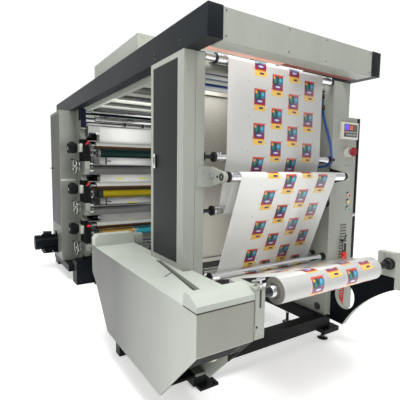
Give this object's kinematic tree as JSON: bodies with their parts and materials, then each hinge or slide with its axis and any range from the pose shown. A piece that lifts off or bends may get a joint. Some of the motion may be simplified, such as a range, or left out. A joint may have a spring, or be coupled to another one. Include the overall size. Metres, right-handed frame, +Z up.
{
  "type": "flexographic printing press",
  "caption": "Stack flexographic printing press with an overhead dryer, a rewind tower with printed film, and a rewind roll held between two arms.",
  "frame": {"origin": "on the floor, under the middle of the whole press", "axes": "+Z up, +X across the web to the control cabinet's side, -Y towards the rewind end"},
  "size_m": [2.192, 5.52, 2.601],
  "materials": {
    "light_paint": "satin",
    "dark_paint": "satin",
    "navy_paint": "semi-gloss",
    "black_paint": "satin",
    "chrome_roll": "polished",
    "steel": "brushed",
    "black_plastic": "matte",
    "panel_plastic": "matte",
    "red_plastic": "gloss",
    "teal_ink": "wet ink",
    "yellow_ink": "wet ink",
    "gold_ink": "wet ink",
    "plate_polymer": "matte",
    "film": "glossy film",
    "cream_paint": "satin",
    "hose_blue": "gloss",
    "hose_red": "gloss"
  },
  "bodies": {
    "frame": {"base_frame": "black_paint", "levelling_feet": "black_paint", "tower_post_left": "light_paint", "tower_post_right": "light_paint", "control_panel": "panel_plastic", "tower_back_panel": "light_paint", "side_beams": "dark_paint", "crossbeams": "light_paint", "overhead_dryer": "light_paint", "print_frames": "light_paint", "print_plinths": "navy_paint", "transport_rollers": "chrome_roll", "plate_cylinders": "plate_polymer", "ink_trays": "steel", "deck_brackets": "light_paint", "deck_motors": "black_plastic", "rear_cylinders": "chrome_roll", "main_motor": "navy_paint", "drive_casing": "light_paint", "drive_pulley": "cream_paint", "bearing_post_left": "light_paint", "rewind_arm_right": "navy_paint", "roller_brackets": "light_paint", "web_guides": "black_plastic", "printed_film": "film", "unwind_stand": "light_paint", "unwind_roll": "film", "air_hose": "hose_blue", "air_gun": "black_plastic", "coil_hose": "hose_red"},
    "impression_cylinder_1": {"impression_cylinder_1": "chrome_roll"},
    "ink_roller_1": {"ink_roller_1": "gold_ink"},
    "handwheel_1": {"handwheel_1": "steel"},
    "impression_cylinder_2": {"impression_cylinder_2": "chrome_roll"},
    "ink_roller_2": {"ink_roller_2": "yellow_ink"},
    "handwheel_2": {"handwheel_2": "steel"},
    "impression_cylinder_3": {"impression_cylinder_3": "chrome_roll"},
    "ink_roller_3": {"ink_roller_3": "teal_ink"},
    "handwheel_3": {"handwheel_3": "steel"},
    "top_roller": {"top_roller": "chrome_roll"},
    "middle_roller": {"middle_roller": "chrome_roll"},
    "hanging_roller": {"hanging_roller": "chrome_roll"},
    "forward_roller": {"forward_roller": "chrome_roll"},
    "nip_roller_front": {"nip_roller_front": "chrome_roll"},
    "nip_roller_rear": {"nip_roller_rear": "chrome_roll"},
    "rewind_roll": {"rewind_roll": "film"},
    "post_door": {"post_door": "dark_paint"},
    "emergency_stop": {"emergency_stop": "red_plastic"}
  },
  "joints": [
    {"name": "impression_cylinder_1_spin", "type": "hinge", "parent": "frame", "child": "impression_cylinder_1", "pos_m": [0.124, 0.76, 0.806], "axis": [1, 0, 0], "continuous": true},
    {"name": "ink_roller_1_spin", "type": "hinge", "parent": "frame", "child": "ink_roller_1", "pos_m": [0.124, 0.54, 0.616], "axis": [1, 0, 0], "continuous": true},
    {"name": "handwheel_1_spin", "type": "hinge", "parent": "frame", "child": "handwheel_1", "pos_m": [0.124, 0.6, 0.441], "axis": [1, 0, 0], "continuous": true},
    {"name": "impression_cylinder_2_spin", "type": "hinge", "parent": "frame", "child": "impression_cylinder_2", "pos_m": [0.124, 0.76, 1.328], "axis": [1, 0, 0], "continuous": true},
    {"name": "ink_roller_2_spin", "type": "hinge", "parent": "frame", "child": "ink_roller_2", "pos_m": [0.124, 0.54, 1.138], "axis": [1, 0, 0], "continuous": true},
    {"name": "handwheel_2_spin", "type": "hinge", "parent": "frame", "child": "handwheel_2", "pos_m": [0.124, 0.6, 0.963], "axis": [1, 0, 0], "continuous": true},
    {"name": "impression_cylinder_3_spin", "type": "hinge", "parent": "frame", "child": "impression_cylinder_3", "pos_m": [0.124, 0.76, 1.85], "axis": [1, 0, 0], "continuous": true},
    {"name": "ink_roller_3_spin", "type": "hinge", "parent": "frame", "child": "ink_roller_3", "pos_m": [0.124, 0.54, 1.66], "axis": [1, 0, 0], "continuous": true},
    {"name": "handwheel_3_spin", "type": "hinge", "parent": "frame", "child": "handwheel_3", "pos_m": [0.124, 0.6, 1.485], "axis": [1, 0, 0], "continuous": true},
    {"name": "top_roller_spin", "type": "hinge", "parent": "frame", "child": "top_roller", "pos_m": [0.124, -2.115, 2.203], "axis": [1, 0, 0], "continuous": true},
    {"name": "middle_roller_spin", "type": "hinge", "parent": "frame", "child": "middle_roller", "pos_m": [0.124, -2.115, 1.567], "axis": [1, 0, 0], "continuous": true},
    {"name": "hanging_roller_spin", "type": "hinge", "parent": "frame", "child": "hanging_roller", "pos_m": [0.124, -2.1, 1.206], "axis": [1, 0, 0], "continuous": true},
    {"name": "forward_roller_spin", "type": "hinge", "parent": "frame", "child": "forward_roller", "pos_m": [0.124, -2.28, 1.438], "axis": [1, 0, 0], "continuous": true},
    {"name": "nip_roller_front_spin", "type": "hinge", "parent": "frame", "child": "nip_roller_front", "pos_m": [0.124, -2.087, 0.741], "axis": [1, 0, 0], "continuous": true},
    {"name": "nip_roller_rear_spin", "type": "hinge", "parent": "frame", "child": "nip_roller_rear", "pos_m": [0.124, -1.98, 0.741], "axis": [1, 0, 0], "continuous": true},
    {"name": "rewind_roll_spin", "type": "hinge", "parent": "frame", "child": "rewind_roll", "pos_m": [0.124, -2.64, 0.799], "axis": [1, 0, 0], "continuous": true},
    {"name": "post_door_hinge", "type": "hinge", "parent": "frame", "child": "post_door", "pos_m": [-0.681, -2.043, 1.2], "axis": [0, 0, 1], "range_deg": [0, 90]},
    {"name": "emergency_stop_push", "type": "slide", "parent": "frame", "child": "emergency_stop", "axis": [0, 1, 0], "range_m": [0, 0.005], "stiffness_N_per_m": 2000}
  ]
}
